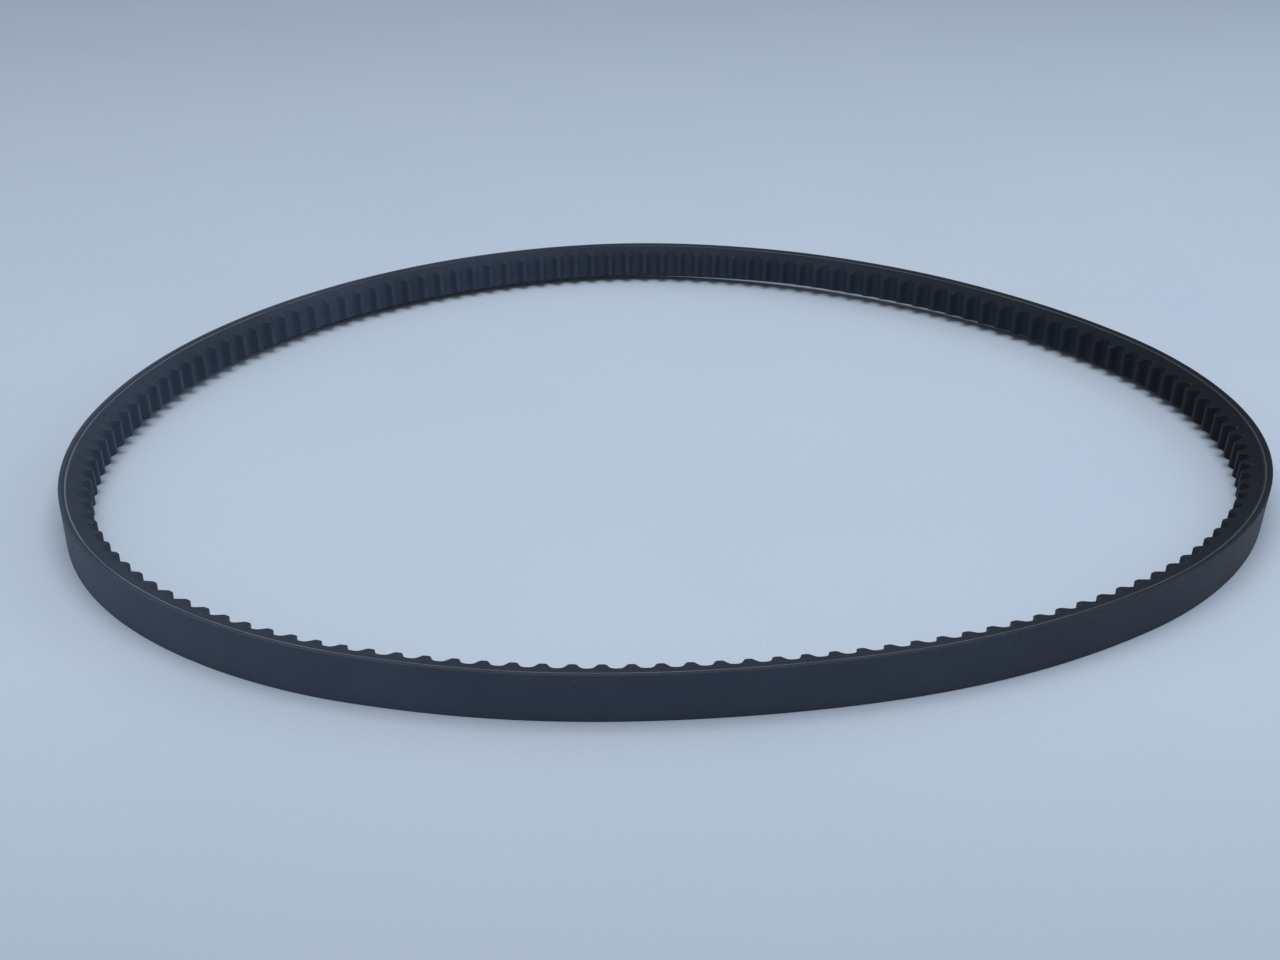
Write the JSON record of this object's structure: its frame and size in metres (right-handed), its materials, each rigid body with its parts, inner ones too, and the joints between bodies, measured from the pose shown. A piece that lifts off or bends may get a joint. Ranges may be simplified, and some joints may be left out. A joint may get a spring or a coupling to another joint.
{
  "type": "v belt",
  "caption": "Endless raw-edge cogged V-belt at rest on its edge: smooth fabric back, ground tapered flanks, rounded cogs moulded across the inside.",
  "frame": {"origin": "middle of the loop's plan box, on the surface the belt stands on", "axes": "+Z across the belt's width, +X along the loop's long axis, +Y across the loop"},
  "size_m": [0.4484, 0.3926, 0.017],
  "materials": {
    "back_fabric": "rubberised woven cloth, matte",
    "tension_rubber": "ground matte",
    "adhesion_rubber": "ground matte",
    "cord": "twisted polyester cord, dull",
    "compression_rubber": "ground matte, short fibres across",
    "facing_fabric": "rubberised cloth, matte"
  },
  "bodies": {
    "root": {"back_fabric_outer_ply": "back_fabric", "back_fabric_inner_ply": "back_fabric", "overcord_rubber": "tension_rubber", "upper_adhesion_rubber": "adhesion_rubber", "tensile_cord": "cord", "lower_adhesion_rubber": "adhesion_rubber", "compression_rubber": "compression_rubber", "cog_facing_fabric": "facing_fabric"}
  },
  "joints": []
}
